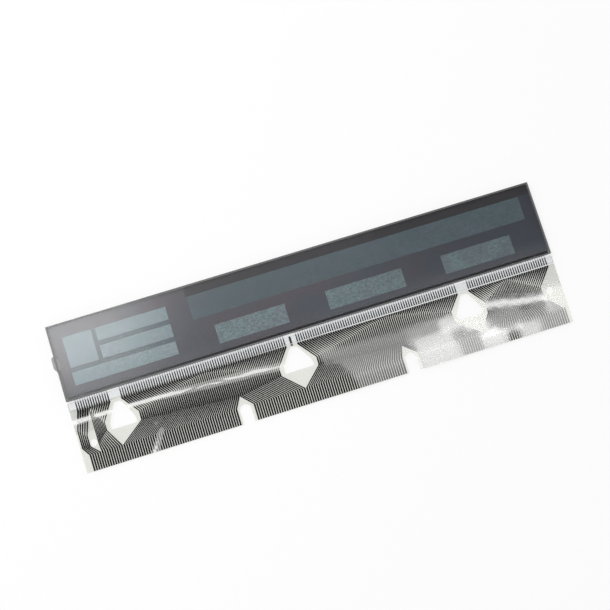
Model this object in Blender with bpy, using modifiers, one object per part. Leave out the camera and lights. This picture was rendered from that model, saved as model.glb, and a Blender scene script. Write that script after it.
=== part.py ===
"""Liquid crystal display panel with its ribbon connector, lying face up.

The origin is the middle of the panel's rear face. +X runs along the panel to the right, +Y towards
its upper long edge and +Z out of its face. The panel is a stack of glass and films around a thin
fluid cell. The ribbon is bonded under a ledge of the front glass and slopes down to the table.
"""

import math

import bmesh
import bpy
import numpy as np
from mathutils import Matrix, Vector

MM = 0.001

# Glass and films
GLASS_LENGTH = 190.6 * MM
GLASS_HEIGHT = 29.2 * MM
LEDGE_DEPTH = 3.8 * MM
GLASS_THICKNESS = 1.1 * MM
GROUND_EDGE = 0.08 * MM
POLARIZER_THICKNESS = 0.2 * MM
POLARIZER_INSET = 0.3 * MM
TRANSFLECTOR_THICKNESS = 0.08 * MM
GLUE = 0.01 * MM

# The cell, whose layers are drawn several times as thick as the real ones
LAYER_THICKNESS = 0.015 * MM
FLUID_THICKNESS = 0.03 * MM
PRINT_GAP = 0.005 * MM
SEAL_WIDTH = 1.0 * MM
SEAL_INSET = 0.4 * MM
SEAL_INSET_BELOW = 1.7 * MM
SEAL_CLEARANCE = 0.05 * MM
DOT_DIAMETER = 1.0 * MM
DOT_FROM_SIDE = 6.0 * MM

# The filling port in the left edge and the resin that closes it
PORT_WIDTH = 4.4 * MM
PLUG_LENGTH = 6.4 * MM
PLUG_BULGE = 1.0 * MM
PLUG_DEPTH = 2.0 * MM
PLUG_ROOT = 0.4 * MM
PLUG_ROUNDING = 0.3 * MM
PLUG_TAPER = 2.2 * MM
PLUG_TOE = 0.33 * MM

# The paler fields in the black mask
FIELD_CLEARANCE = 0.05 * MM
FIELDS_FROM_SIDE = 4.8 * MM
ROW_COUNT = 3
ROW_GAP = 1.85 * MM
ROWS_FROM_TOP = 5.45 * MM
ROWS_FROM_FOOT = 5.2 * MM
SQUARE_WIDTH = 10.9 * MM
SQUARE_GAP = 1.6 * MM
UPPER_BAR_WIDTH = 27.3 * MM
LONG_BAR_GAP = 8.65 * MM
LONG_BAR_FROM_RIGHT = 5.1 * MM
LONG_BAR_FROM_TOP = 4.3 * MM
LONG_BAR_HEIGHT = 9.05 * MM
LOWER_FIELD_GAP = 4.1 * MM
LOWER_FIELDS_FROM_FOOT = 4.4 * MM
LOWER_FIELD_WIDTHS = {"left": 27.4 * MM, "middle": 30.3 * MM, "right": 27.8 * MM}
FIRST_LOWER_FIELD_INDENT = 7.0 * MM
LAST_LOWER_FIELD_INDENT = 7.9 * MM

# The ribbon's film
FILM_THICKNESS = 0.1 * MM
FILM_TO_REAR_GLASS = 0.5 * MM
FILM_END_MARGIN = 0.3 * MM
FILM_CORNER = 0.5 * MM
FILM_ABOVE_TABLE = 0.1 * MM

# The ribbon's tracks, across it
TRACK_PITCH = 0.9225 * MM
INKED_SHARE = 0.52
TRACK_THICKNESS = 0.03 * MM
SIDE_MARGIN_UPPER = 3.0 * MM
SIDE_MARGIN_LOWER = 2.6 * MM
LEFT_MARGIN_AT_WAIST = 0.7 * MM
RIGHT_MARGIN_AT_WAIST = 8.0 * MM
STRIP_THICKNESS = 0.015 * MM
STRIP_BEYOND_TRACKS = 0.4 * MM
KEY_WIDTH = 0.85 * MM
MARK_DISTANCE = 1.0 * MM

# The ribbon's tracks, down it, measured from the ledge's edge
TRACK_START_ABOVE = 3.1 * MM
FAN_START = 0.5 * MM
WAIST_START = 7.1 * MM
EYELET_WAIST_START = 10.1 * MM
EYELET_WAIST_END = 14.1 * MM
LEFT_EDGE_WAIST_START = 7.4 * MM
WAIST_END = 10.2 * MM
SLOT_APEX = 12.9 * MM
RIGHT_WAIST_END = 11.2 * MM
LOWER_CONTACT_START = 17.0 * MM
LOWER_CONTACT_LENGTH = 6.0 * MM

# Windows and slots, which let the posts of a lamp board through
FIRST_WINDOW_FROM_LEFT = 17.45 * MM
MIDDLE_WINDOW_FROM_LEFT = 85.85 * MM
LAST_WINDOW_FROM_RIGHT = 36.85 * MM
WINDOW_HALF_GAP = 2.45 * MM
WAIST_HALF_WIDTHS = (6.8 * MM, 7.5 * MM, 6.9 * MM)
WAIST_SHIFTS = (0.4 * MM, 0.1 * MM, 0.0)
HOLE_MARGIN = 1.85 * MM
HOLE_TOP = 1.0 * MM
HOLE_TOP_HALF_WIDTH = 1.3 * MM
HOLE_SHOULDER = 7.6 * MM
HOLE_BOTTOM = 9.9 * MM
HOLE_TOP_RADIUS = 1.0 * MM
HOLE_SHOULDER_RADIUS = 3.0 * MM
HOLE_FOOT_RADIUS = 0.9 * MM
FIRST_SLOT_FROM_LEFT = 62.3 * MM
LAST_SLOT_FROM_RIGHT = 63.5 * MM
SLOT_HALF_GAP = 3.65 * MM
SLOT_WIDTH = 4.4 * MM
SLOT_TOP = 16.1 * MM

# The narrow split in the tracks at the left, and the two register holes
LEFT_TRACK_COUNT = 5
EYELET_LEFT_FROM_SIDE = 3.5 * MM
EYELET_RIGHT_FROM_SIDE = 7.15 * MM
REGISTER_DIAMETER = 2.6 * MM
LEFT_REGISTER = (5.35 * MM, 13.1 * MM)
RIGHT_REGISTER = (5.0 * MM, 9.3 * MM)

# How finely curves are divided, and how near two points count as one
CIRCLE_STEPS = 24
CORNER_STEPS = 6
FILM_CORNER_STEPS = 3
ARCH_STEPS = 12
PLUG_STEPS = 7
ROUNDING_STEPS = 2
ROUNDED_ABOVE = math.radians(60)
SAME_POINT = 0.0005 * MM

# Levels, from the table up
TRANSFLECTOR_Z = 0.0
REAR_POLARIZER_Z = TRANSFLECTOR_THICKNESS + GLUE
REAR_GLASS_Z = REAR_POLARIZER_Z + POLARIZER_THICKNESS + GLUE
CELL_Z = REAR_GLASS_Z + GLASS_THICKNESS
ELECTRODE_Z = CELL_Z + PRINT_GAP
FLUID_Z = ELECTRODE_Z + LAYER_THICKNESS + PRINT_GAP
MASK_Z = FLUID_Z + FLUID_THICKNESS + PRINT_GAP
FRONT_GLASS_Z = MASK_Z + LAYER_THICKNESS + PRINT_GAP
FRONT_POLARIZER_Z = FRONT_GLASS_Z + GLASS_THICKNESS + GLUE
CELL_FILLING = FRONT_GLASS_Z - CELL_Z - 2 * PRINT_GAP
TRACKS_Z = FRONT_GLASS_Z - GLUE - TRACK_THICKNESS
FILM_Z = TRACKS_Z - PRINT_GAP - FILM_THICKNESS

# Edges and rows, seen from above
LEFT, RIGHT = -GLASS_LENGTH / 2, GLASS_LENGTH / 2
TOP, REAR_EDGE = GLASS_HEIGHT / 2, -GLASS_HEIGHT / 2
LEDGE_EDGE = REAR_EDGE - LEDGE_DEPTH
FILM_TOP = REAR_EDGE - FILM_TO_REAR_GLASS
TRACK_START = LEDGE_EDGE + TRACK_START_ABOVE
FAN = LEDGE_EDGE - FAN_START
LOWER_CONTACT = LEDGE_EDGE - LOWER_CONTACT_START
TRACK_END = LOWER_CONTACT - LOWER_CONTACT_LENGTH
FILM_BOTTOM = TRACK_END - FILM_END_MARGIN
WINDOWS = np.array(
    [LEFT + FIRST_WINDOW_FROM_LEFT, LEFT + MIDDLE_WINDOW_FROM_LEFT, RIGHT - LAST_WINDOW_FROM_RIGHT]
)
WAISTS = WINDOWS + np.array(WAIST_SHIFTS)
SLOTS = np.array([LEFT + FIRST_SLOT_FROM_LEFT, RIGHT - LAST_SLOT_FROM_RIGHT])

# Colour, roughness, metallic and alpha of each finish
FINISHES = {
    "polarizer": ((0.10, 0.10, 0.11), 0.28, 0.0, 0.6),
    "glass": ((0.80, 0.86, 0.84), 0.05, 0.0, 0.3),
    "mask_ink": ((0.03, 0.03, 0.035), 0.5, 0.0, 1.0),
    "field": ((0.30, 0.36, 0.38), 0.4, 0.0, 1.0),
    "electrode": ((0.62, 0.66, 0.66), 0.3, 0.2, 0.5),
    "fluid": ((0.45, 0.48, 0.45), 0.3, 0.0, 0.6),
    "seal_resin": ((0.62, 0.60, 0.52), 0.5, 0.0, 1.0),
    "silver_paste": ((0.75, 0.75, 0.76), 0.4, 0.9, 1.0),
    "plug_resin": ((0.55, 0.54, 0.50), 0.35, 0.0, 1.0),
    "transflector": ((0.72, 0.73, 0.74), 0.35, 0.8, 1.0),
    "film": ((0.72, 0.71, 0.62), 0.3, 0.0, 0.7),
    "carbon_ink": ((0.015, 0.015, 0.015), 0.45, 0.0, 1.0),
}


def clear_scene():
    for obj in list(bpy.data.objects):
        bpy.data.objects.remove(obj, do_unlink=True)


def make_collection(name, hidden=False):
    collection = bpy.data.collections.new(name)
    collection.hide_render = hidden
    bpy.context.scene.collection.children.link(collection)
    return collection


def make_materials():
    materials = {}
    for name, (colour, roughness, metallic, alpha) in FINISHES.items():
        material = bpy.data.materials.new(name)
        material.use_nodes = True
        shader = material.node_tree.nodes["Principled BSDF"]
        shader.inputs["Base Color"].default_value = (*colour, 1.0)
        shader.inputs["Roughness"].default_value = roughness
        shader.inputs["Metallic"].default_value = metallic
        shader.inputs["Alpha"].default_value = alpha
        materials[name] = material
    return materials


def add_object(name, mesh, collection, material):
    obj = bpy.data.objects.new(name, mesh)
    mesh.materials.clear()
    mesh.materials.append(material)
    collection.objects.link(obj)
    return obj


def box_mesh(name, xs, ys, thickness):
    """A box between two x and two y values, its underside at z = 0."""
    bm = bmesh.new()
    bmesh.ops.create_cube(bm, size=1.0)
    bmesh.ops.scale(bm, vec=(xs[1] - xs[0], ys[1] - ys[0], thickness), verts=bm.verts)
    bmesh.ops.translate(bm, vec=(sum(xs) / 2, sum(ys) / 2, thickness / 2), verts=bm.verts)
    mesh = bpy.data.meshes.new(name)
    bm.to_mesh(mesh)
    bm.free()
    return mesh


def plate(name, xs, ys, z, thickness, collection, material, ground=0.0):
    """A flat rectangular sheet, with its edges ground off where a width is given."""
    obj = add_object(name, box_mesh(name, xs, ys, thickness), collection, material)
    obj.location.z = z
    if ground:
        bevel = obj.modifiers.new("ground_edges", "BEVEL")
        bevel.width = ground
        bevel.segments = 1
    return obj


def outline_mesh(name, outlines, thickness):
    """A flat sheet from closed outlines, of which the inner ones are holes, its underside at z = 0."""
    curve = bpy.data.curves.new(name, "CURVE")
    curve.dimensions = "2D"
    curve.fill_mode = "BOTH"
    curve.extrude = thickness / 2
    for outline in outlines:
        spline = curve.splines.new("POLY")
        spline.points.add(len(outline) - 1)
        for point, (x, y) in zip(spline.points, outline):
            point.co = (x, y, 0.0, 1.0)
        spline.use_cyclic_u = True
    guide = bpy.data.objects.new(name + "_outline", curve)
    bpy.context.scene.collection.objects.link(guide)
    graph = bpy.context.evaluated_depsgraph_get()
    mesh = bpy.data.meshes.new_from_object(guide.evaluated_get(graph))
    bpy.data.objects.remove(guide, do_unlink=True)
    mesh.name = name
    bm = bmesh.new()
    bm.from_mesh(mesh)
    bmesh.ops.remove_doubles(bm, verts=bm.verts, dist=SAME_POINT)
    bmesh.ops.recalc_face_normals(bm, faces=bm.faces)
    bmesh.ops.translate(bm, vec=(0.0, 0.0, thickness / 2), verts=bm.verts)
    bm.to_mesh(mesh)
    bm.free()
    return mesh


def rectangle(xs, ys):
    return [(xs[0], ys[0]), (xs[1], ys[0]), (xs[1], ys[1]), (xs[0], ys[1])]


def circle(x, y, diameter):
    turns = np.linspace(0.0, 2 * math.pi, CIRCLE_STEPS, endpoint=False)
    return [(x + diameter / 2 * math.cos(a), y + diameter / 2 * math.sin(a)) for a in turns]


def rounded(corners, radii, steps=CORNER_STEPS):
    """The closed outline through the corners, each rounded by an arc of its radius."""
    outline = []
    for i, (corner, radius) in enumerate(zip(corners, radii)):
        here = Vector(corner)
        back = (Vector(corners[i - 1]) - here).normalized()
        ahead = (Vector(corners[(i + 1) % len(corners)]) - here).normalized()
        half = back.angle(ahead) / 2
        reach = radius / math.tan(half)
        centre = here + (back + ahead).normalized() * radius / math.sin(half)
        start, end = here + back * reach - centre, here + ahead * reach - centre
        turn = start.angle_signed(end)
        for step in range(steps + 1):
            outline.append(tuple(centre + Matrix.Rotation(-turn * step / steps, 2) @ start))
    return outline


def drop(y):
    """How far the ribbon has come down at a place along it: level, a slope, and level again."""
    share = np.clip((FAN - y) / (FAN - LOWER_CONTACT), 0.0, 1.0)
    return share * (FILM_Z - FILM_ABOVE_TABLE)


def bend(mesh):
    """Creases the sheet at the slope's two ends and lowers what lies beyond them."""
    bm = bmesh.new()
    bm.from_mesh(mesh)
    for row in (FAN, LOWER_CONTACT):
        bmesh.ops.bisect_plane(
            bm,
            geom=bm.verts[:] + bm.edges[:] + bm.faces[:],
            dist=SAME_POINT,
            plane_co=(0.0, row, 0.0),
            plane_no=(0.0, 1.0, 0.0),
        )
    for vert in bm.verts:
        vert.co.z -= drop(vert.co.y)
    bm.to_mesh(mesh)
    bm.free()


def window_hole(centre, waist_half_width):
    """The bell shaped hole in a window: narrow at the ledge, and wide and square at its foot."""
    half = waist_half_width - HOLE_MARGIN
    top, shoulder, foot = LEDGE_EDGE - HOLE_TOP, LEDGE_EDGE - HOLE_SHOULDER, LEDGE_EDGE - HOLE_BOTTOM
    corners = [
        (centre - half, foot),
        (centre + half, foot),
        (centre + half, shoulder),
        (centre + HOLE_TOP_HALF_WIDTH, top),
        (centre - HOLE_TOP_HALF_WIDTH, top),
        (centre - half, shoulder),
    ]
    radii = [HOLE_FOOT_RADIUS, HOLE_FOOT_RADIUS, HOLE_SHOULDER_RADIUS]
    radii += [HOLE_TOP_RADIUS, HOLE_TOP_RADIUS, HOLE_SHOULDER_RADIUS]
    return rounded(corners, radii)


def film_outline():
    """The ribbon's outer edge, with the slots that are open at its lower end."""
    corners = [(LEFT, FILM_BOTTOM), (RIGHT, FILM_BOTTOM), (RIGHT, FILM_TOP), (LEFT, FILM_TOP)]
    outline = rounded(corners, [FILM_CORNER] * len(corners), FILM_CORNER_STEPS)
    lower_left, rest = outline[:FILM_CORNER_STEPS + 1], outline[FILM_CORNER_STEPS + 1:]
    arch = LEDGE_EDGE - SLOT_TOP - SLOT_WIDTH / 2
    for centre in SLOTS:
        lower_left.append((centre - SLOT_WIDTH / 2, FILM_BOTTOM))
        for turn in np.linspace(math.pi, 0.0, ARCH_STEPS + 1):
            x, y = math.cos(turn) * SLOT_WIDTH / 2, math.sin(turn) * SLOT_WIDTH / 2
            lower_left.append((centre + x, arch + y))
        lower_left.append((centre + SLOT_WIDTH / 2, FILM_BOTTOM))
    return lower_left + rest


def even_row(left, right):
    """Track centres at the pitch, as many as fit between two limits, centred between them."""
    steps = round((right - left) / TRACK_PITCH)
    start = (left + right - steps * TRACK_PITCH) / 2
    return start + TRACK_PITCH * np.arange(steps + 1)


def upper_row():
    """Track centres on the glass ledge, in one block for each stretch between windows."""
    lefts = [LEFT + SIDE_MARGIN_UPPER, *(WINDOWS + WINDOW_HALF_GAP)]
    rights = [*(WINDOWS - WINDOW_HALF_GAP), RIGHT - SIDE_MARGIN_UPPER]
    return [even_row(left, right) for left, right in zip(lefts, rights)]


def lower_row():
    """Track centres at the ribbon's lower end, which only the slots divide."""
    lefts = [LEFT + SIDE_MARGIN_LOWER, *(SLOTS + SLOT_HALF_GAP)]
    rights = [*(SLOTS - SLOT_HALF_GAP), RIGHT - SIDE_MARGIN_LOWER]
    return [even_row(left, right) for left, right in zip(lefts, rights)]


def waist_row(upper):
    """Track centres at the windows' widest height, and the heights where each run is straight."""
    halves = np.array(WAIST_HALF_WIDTHS)
    lefts = [LEFT + EYELET_RIGHT_FROM_SIDE, *(WAISTS + halves)]
    rights = [*(WAISTS - halves), RIGHT - RIGHT_MARGIN_AT_WAIST]
    blocks = [upper[0][:LEFT_TRACK_COUNT], upper[0][LEFT_TRACK_COUNT:], *upper[1:]]
    outer = np.linspace(LEFT + LEFT_MARGIN_AT_WAIST, LEFT + EYELET_LEFT_FROM_SIDE, len(blocks[0]))
    centres = [outer]
    starts = [np.linspace(LEFT_EDGE_WAIST_START, EYELET_WAIST_START, len(outer))]
    for block, left, right in zip(blocks[1:], lefts, rights):
        row = np.linspace(left, right, len(block))
        shift = np.abs(row - block)
        centres.append(row)
        starts.append(FAN_START + (WAIST_START - FAN_START) * shift / shift.max())
    pitches = [np.full(len(row), (row[-1] - row[0]) / (len(row) - 1)) for row in centres]
    return np.concatenate(centres), np.concatenate(pitches), LEDGE_EDGE - np.concatenate(starts)


def waist_end(centres):
    """Height at which each track leaves the waist: lowest above the slots, and beside the eyelet."""
    halves = np.array(WAIST_HALF_WIDTHS)
    knots = [(LEFT, EYELET_WAIST_END), (LEFT + EYELET_RIGHT_FROM_SIDE, EYELET_WAIST_END)]
    knots += [(x, WAIST_END) for x in (*(WAISTS - halves), *(WAISTS + halves))]
    knots += [(x, SLOT_APEX) for x in SLOTS]
    knots += [(RIGHT - RIGHT_MARGIN_AT_WAIST, RIGHT_WAIST_END)]
    places, depths = zip(*sorted(knots))
    return LEDGE_EDGE - np.interp(centres, places, depths)


def track_outlines():
    """Each track's closed outline: straight, fanned in, straight, fanned out and straight again."""
    blocks = upper_row()
    waist, waist_pitch, waist_top = waist_row(blocks)
    upper, lower = np.concatenate(blocks), np.concatenate(lower_row())
    waist_foot = waist_end(waist)
    outlines = []
    for i in range(min(len(upper), len(lower))):
        half = INKED_SHARE * TRACK_PITCH / 2
        narrow = INKED_SHARE * min(waist_pitch[i], TRACK_PITCH) / 2
        path = [
            (upper[i], TRACK_START, half),
            (upper[i], FAN, half),
            (waist[i], waist_top[i], narrow),
            (waist[i], waist_foot[i], narrow),
            (lower[i], LOWER_CONTACT, half),
            (lower[i], TRACK_END, half),
        ]
        left_side = [(x - w, y) for x, y, w in path]
        right_side = [(x + w, y) for x, y, w in reversed(path)]
        outlines.append(left_side + right_side)
    return outlines


def make_rear_stack(collection, materials):
    inset_x = (LEFT + POLARIZER_INSET, RIGHT - POLARIZER_INSET)
    inset_y = (REAR_EDGE + POLARIZER_INSET, TOP - POLARIZER_INSET)
    plate("transflector", inset_x, inset_y, TRANSFLECTOR_Z, TRANSFLECTOR_THICKNESS,
          collection, materials["transflector"])
    plate("rear_polarizer", inset_x, inset_y, REAR_POLARIZER_Z, POLARIZER_THICKNESS,
          collection, materials["polarizer"])
    plate("rear_glass", (LEFT, RIGHT), (REAR_EDGE, TOP), REAR_GLASS_Z, GLASS_THICKNESS,
          collection, materials["glass"], GROUND_EDGE)


def make_front_stack(collection, materials):
    plate("front_glass", (LEFT, RIGHT), (LEDGE_EDGE, TOP), FRONT_GLASS_Z, GLASS_THICKNESS,
          collection, materials["glass"], GROUND_EDGE)
    plate("front_polarizer", (LEFT + POLARIZER_INSET, RIGHT - POLARIZER_INSET),
          (REAR_EDGE + POLARIZER_INSET, TOP - POLARIZER_INSET), FRONT_POLARIZER_Z,
          POLARIZER_THICKNESS, collection, materials["polarizer"])


def cell_limits(clearance):
    """The room inside the perimeter seal, less a clearance."""
    side = SEAL_INSET + SEAL_WIDTH + clearance
    below = SEAL_INSET_BELOW + SEAL_WIDTH + clearance
    return (LEFT + side, RIGHT - side), (REAR_EDGE + below, TOP - side)


def make_seal(collection, materials):
    """A ring of epoxy that turns outwards beside the port and leaves it open."""
    (inner_left, inner_right), (inner_low, inner_high) = cell_limits(0.0)
    outer_left, outer_right = inner_left - SEAL_WIDTH, inner_right + SEAL_WIDTH
    outer_low, outer_high = inner_low - SEAL_WIDTH, inner_high + SEAL_WIDTH
    lip, port = LEFT + SEAL_CLEARANCE, PORT_WIDTH / 2
    outline = [
        (outer_left, outer_low), (outer_right, outer_low), (outer_right, outer_high),
        (outer_left, outer_high), (outer_left, port + SEAL_WIDTH), (lip, port + SEAL_WIDTH),
        (lip, port), (inner_left, port), (inner_left, inner_high), (inner_right, inner_high),
        (inner_right, inner_low), (inner_left, inner_low), (inner_left, -port), (lip, -port),
        (lip, -port - SEAL_WIDTH), (outer_left, -port - SEAL_WIDTH),
    ]
    mesh = outline_mesh("perimeter_seal", [outline], CELL_FILLING)
    add_object("perimeter_seal", mesh, collection, materials["seal_resin"]).location.z = ELECTRODE_Z


def make_cell(collection, materials):
    xs, ys = cell_limits(SEAL_CLEARANCE)
    plate("common_electrode", xs, ys, ELECTRODE_Z, LAYER_THICKNESS, collection, materials["electrode"])
    plate("liquid_crystal", xs, ys, FLUID_Z, FLUID_THICKNESS, collection, materials["fluid"])
    dot_y = REAR_EDGE + SEAL_INSET_BELOW / 2
    for side, x in (("left", LEFT + DOT_FROM_SIDE), ("right", RIGHT - DOT_FROM_SIDE)):
        name = "transfer_dot_" + side
        mesh = outline_mesh(name, [circle(x, dot_y, DOT_DIAMETER)], CELL_FILLING)
        add_object(name, mesh, collection, materials["silver_paste"]).location.z = ELECTRODE_Z


def field_layout():
    """Each field's x and y limits. Its mask window is larger by the clearance."""
    left = LEFT + FIELDS_FROM_SIDE
    bar_left = left + SQUARE_WIDTH + SQUARE_GAP
    bar_right = bar_left + UPPER_BAR_WIDTH
    rows_top, rows_foot = TOP - ROWS_FROM_TOP, REAR_EDGE + ROWS_FROM_FOOT
    row_height = (rows_top - rows_foot - (ROW_COUNT - 1) * ROW_GAP) / ROW_COUNT
    upper, middle, lower = [
        (top - row_height, top) for top in rows_top - (row_height + ROW_GAP) * np.arange(ROW_COUNT)
    ]
    layout = {
        "field_square": ((left, left + SQUARE_WIDTH), (middle[0], upper[1])),
        "field_upper_bar": ((bar_left, bar_right), upper),
        "field_middle_bar": ((bar_left, bar_right), middle),
        "field_lower_bar": ((left, bar_right), lower),
    }
    long_left, long_right = bar_right + LONG_BAR_GAP, RIGHT - LONG_BAR_FROM_RIGHT
    long_top = TOP - LONG_BAR_FROM_TOP
    long_foot = long_top - LONG_BAR_HEIGHT
    layout["field_long_bar"] = ((long_left, long_right), (long_foot, long_top))
    first = long_left + FIRST_LOWER_FIELD_INDENT + LOWER_FIELD_WIDTHS["left"] / 2
    last = long_right - LAST_LOWER_FIELD_INDENT - LOWER_FIELD_WIDTHS["right"] / 2
    centres = {"left": first, "middle": (first + last) / 2, "right": last}
    ys = (REAR_EDGE + LOWER_FIELDS_FROM_FOOT, long_foot - LOWER_FIELD_GAP)
    for place, width in LOWER_FIELD_WIDTHS.items():
        xs = (centres[place] - width / 2, centres[place] + width / 2)
        layout["field_lower_" + place] = (xs, ys)
    return layout


def make_fields(collection, materials):
    layout = field_layout()
    openings = []
    for name, (xs, ys) in layout.items():
        plate(name, xs, ys, MASK_Z, LAYER_THICKNESS, collection, materials["field"])
        openings.append(rectangle((xs[0] - FIELD_CLEARANCE, xs[1] + FIELD_CLEARANCE),
                                  (ys[0] - FIELD_CLEARANCE, ys[1] + FIELD_CLEARANCE)))
    mesh = outline_mesh("black_mask", [rectangle(*cell_limits(SEAL_CLEARANCE)), *openings], LAYER_THICKNESS)
    add_object("black_mask", mesh, collection, materials["mask_ink"]).location.z = MASK_Z


def plug_outline():
    """The resin's outline on the glass edge: abrupt at its upper end and drawn out at its lower one."""
    root, half = LEFT - GLUE, PLUG_LENGTH / 2
    outline = [(root, -half)]
    for rise in np.linspace(PLUG_TOE, PLUG_TAPER, PLUG_STEPS + 1):
        bulge = PLUG_BULGE * math.sin(rise / PLUG_TAPER * math.pi / 2) ** 2
        outline.append((root - bulge, -half + rise))
    for turn in np.linspace(0.0, math.pi / 2, PLUG_STEPS):
        inward, upward = PLUG_BULGE * math.cos(turn), PLUG_BULGE * math.sin(turn)
        outline.append((root - inward, half - PLUG_BULGE + upward))
    return outline[::-1]


def join(target, piece, name):
    """Unites a piece with the target and leaves the piece itself as a guide that isn't rendered."""
    piece.hide_render = True
    piece.display_type = "WIRE"
    union = target.modifiers.new(name, "BOOLEAN")
    union.operation = "UNION"
    union.object = piece


def make_plug(collection, cutters, materials):
    """A bead of resin across both glass edges, joined to the tongue that ran into the port."""
    bead_mesh = outline_mesh("end_seal_plug", [plug_outline()], PLUG_DEPTH)
    plug = add_object("end_seal_plug", bead_mesh, collection, materials["plug_resin"])
    plug.location.z = CELL_Z + (FRONT_GLASS_Z - CELL_Z - PLUG_DEPTH) / 2
    bevel = plug.modifiers.new("rounding", "BEVEL")
    bevel.width = PLUG_ROUNDING
    bevel.segments = ROUNDING_STEPS
    bevel.limit_method = "ANGLE"
    bevel.angle_limit = ROUNDED_ABOVE
    (inner_left, _), _ = cell_limits(0.0)
    half = PORT_WIDTH / 2 - SEAL_CLEARANCE
    tongue = plate("port_tongue", (LEFT - PLUG_ROOT, inner_left), (-half, half), ELECTRODE_Z,
                   CELL_FILLING, cutters, materials["plug_resin"])
    join(plug, tongue, "with_tongue")


def make_film(collection, materials):
    holes = [window_hole(x, half) for x, half in zip(WAISTS, WAIST_HALF_WIDTHS)]
    holes.append(circle(LEFT + LEFT_REGISTER[0], LEDGE_EDGE - LEFT_REGISTER[1], REGISTER_DIAMETER))
    holes.append(circle(RIGHT - RIGHT_REGISTER[0], LEDGE_EDGE - RIGHT_REGISTER[1], REGISTER_DIAMETER))
    mesh = outline_mesh("ribbon_film", [film_outline(), *holes], FILM_THICKNESS)
    bend(mesh)
    add_object("ribbon_film", mesh, collection, materials["film"]).location.z = FILM_Z


def make_tracks(collection, cutters, materials):
    """All the tracks and the lone key bar, held together by the heat-seal strip at their upper ends."""
    outlines = track_outlines()
    key = (WINDOWS[1] - KEY_WIDTH / 2, WINDOWS[1] + KEY_WIDTH / 2)
    mesh = outline_mesh("ribbon_tracks", [*outlines, rectangle(key, (FAN, TRACK_START))], TRACK_THICKNESS)
    bend(mesh)
    tracks = add_object("ribbon_tracks", mesh, collection, materials["carbon_ink"])
    tracks.location.z = TRACKS_Z
    reach = (outlines[0][0][0] - STRIP_BEYOND_TRACKS, outlines[-1][-1][0] + STRIP_BEYOND_TRACKS)
    strip_mesh = outline_mesh("heat_seal_strip", [rectangle(reach, (FAN, TRACK_START))], STRIP_THICKNESS)
    strip = add_object("heat_seal_strip", strip_mesh, cutters, materials["carbon_ink"])
    strip.location.z = TRACKS_Z
    join(tracks, strip, "with_strip")


def make_index_mark(collection, materials):
    centre = lower_row()[-1][-1] + MARK_DISTANCE
    half = INKED_SHARE * TRACK_PITCH / 2
    mark_z = TRACKS_Z - drop(TRACK_END)
    plate("index_mark", (centre - half, centre + half), (TRACK_END, LOWER_CONTACT), mark_z,
          TRACK_THICKNESS, collection, materials["carbon_ink"])


def main():
    clear_scene()
    parts = make_collection("lcd_panel")
    cutters = make_collection("joined_shapes", hidden=True)
    materials = make_materials()
    make_rear_stack(parts, materials)
    make_seal(parts, materials)
    make_cell(parts, materials)
    make_fields(parts, materials)
    make_front_stack(parts, materials)
    make_plug(parts, cutters, materials)
    make_film(parts, materials)
    make_tracks(parts, cutters, materials)
    make_index_mark(parts, materials)


main()
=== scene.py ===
# %% [markdown]
# A liquid crystal display panel with its printed ribbon. The panel is a stack: a dark polarizer on
# top, a sheet of glass, a black mask with paler fields in it, and more glass and film below. The
# upper glass sticks out as a clear ledge along one long side, and a clear film with black printed
# tracks hangs from the underside of that ledge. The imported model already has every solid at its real
# size. This script gives each surface its finish, and makes the soft sheet and its tracks afresh,
# because a film that bends freely has no flat faces.

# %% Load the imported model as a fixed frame
import math

import bpy
import numpy as np
from mathutils import Matrix, Vector


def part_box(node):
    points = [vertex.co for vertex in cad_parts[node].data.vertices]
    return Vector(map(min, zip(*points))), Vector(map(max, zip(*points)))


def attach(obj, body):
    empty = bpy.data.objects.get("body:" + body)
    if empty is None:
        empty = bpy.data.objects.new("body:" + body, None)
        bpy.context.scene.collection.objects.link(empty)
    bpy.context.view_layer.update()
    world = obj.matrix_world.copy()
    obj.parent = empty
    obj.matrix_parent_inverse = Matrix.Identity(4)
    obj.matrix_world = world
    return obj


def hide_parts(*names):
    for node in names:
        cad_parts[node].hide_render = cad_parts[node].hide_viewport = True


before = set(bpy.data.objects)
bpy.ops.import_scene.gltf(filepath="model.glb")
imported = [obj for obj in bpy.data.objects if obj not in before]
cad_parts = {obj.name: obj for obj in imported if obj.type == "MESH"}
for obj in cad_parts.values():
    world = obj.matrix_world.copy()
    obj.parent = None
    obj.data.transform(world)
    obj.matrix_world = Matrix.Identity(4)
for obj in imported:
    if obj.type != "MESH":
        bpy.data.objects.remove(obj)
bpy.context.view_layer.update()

MM = 0.001


# %% [markdown]
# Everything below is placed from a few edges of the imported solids. The glass gives the panel's left,
# right, upper and ledge edges. The film gives the ribbon's lower edge and the height at which it is
# bonded. Reading these from the frame, and not typing them again, keeps the pieces on the solids.

# %% Edges and levels that the frame gives
glass_low, glass_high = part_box("front_glass")
film_low, film_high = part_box("ribbon_film")
tracks_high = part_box("ribbon_tracks")[1]
polarizer_low, polarizer_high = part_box("front_polarizer")
mark_low, mark_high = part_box("index_mark")
LEFT, RIGHT = glass_low.x, glass_high.x
LEDGE = glass_low.y
FOOT_INSET, FOOT_MARGIN = 0.01 * MM, 0.12 * MM
FILM_TOP, FILM_FOOT = film_high.y, film_low.y + FOOT_INSET
TRACK_START, TRACK_END = tracks_high.y, film_low.y + FOOT_MARGIN
BONDED_LEVEL = film_high.z
TRACK_GAP = 0.005 * MM
TRACK_THICKNESS = 0.03 * MM
FILM_THICKNESS = 0.1 * MM
FAN = LEDGE - 0.5 * MM
LOWER_CONTACT = LEDGE - 17.0 * MM
print("film is bonded", round(BONDED_LEVEL / MM, 3), "mm above the panel's rear face")

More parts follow.
